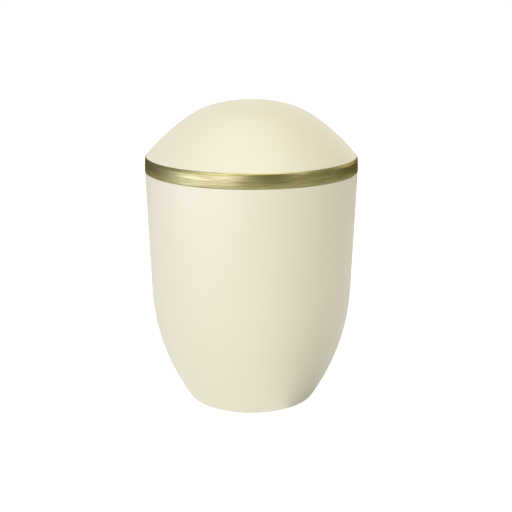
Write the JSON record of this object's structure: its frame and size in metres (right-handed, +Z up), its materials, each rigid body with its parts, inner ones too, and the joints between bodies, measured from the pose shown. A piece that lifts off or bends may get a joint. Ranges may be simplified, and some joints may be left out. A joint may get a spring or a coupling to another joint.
{
  "type": "cremation urn",
  "caption": "Tapered round cremation urn with a domed lift-off lid and a brushed metal band around the lid's rim.",
  "frame": {"origin": "centre of the underside, on the plane of the foot ring", "axes": "+Z up along the urn's turning axis, X and Y are free because the urn is round"},
  "size_m": [0.21, 0.21, 0.3011],
  "materials": {
    "cream_lacquer": "satin cream lacquer, smooth",
    "brushed_brass": "brushed around its length, lacquered"
  },
  "bodies": {
    "root": {"body": "cream_lacquer", "lid": "cream_lacquer", "band": "brushed_brass"}
  },
  "joints": []
}
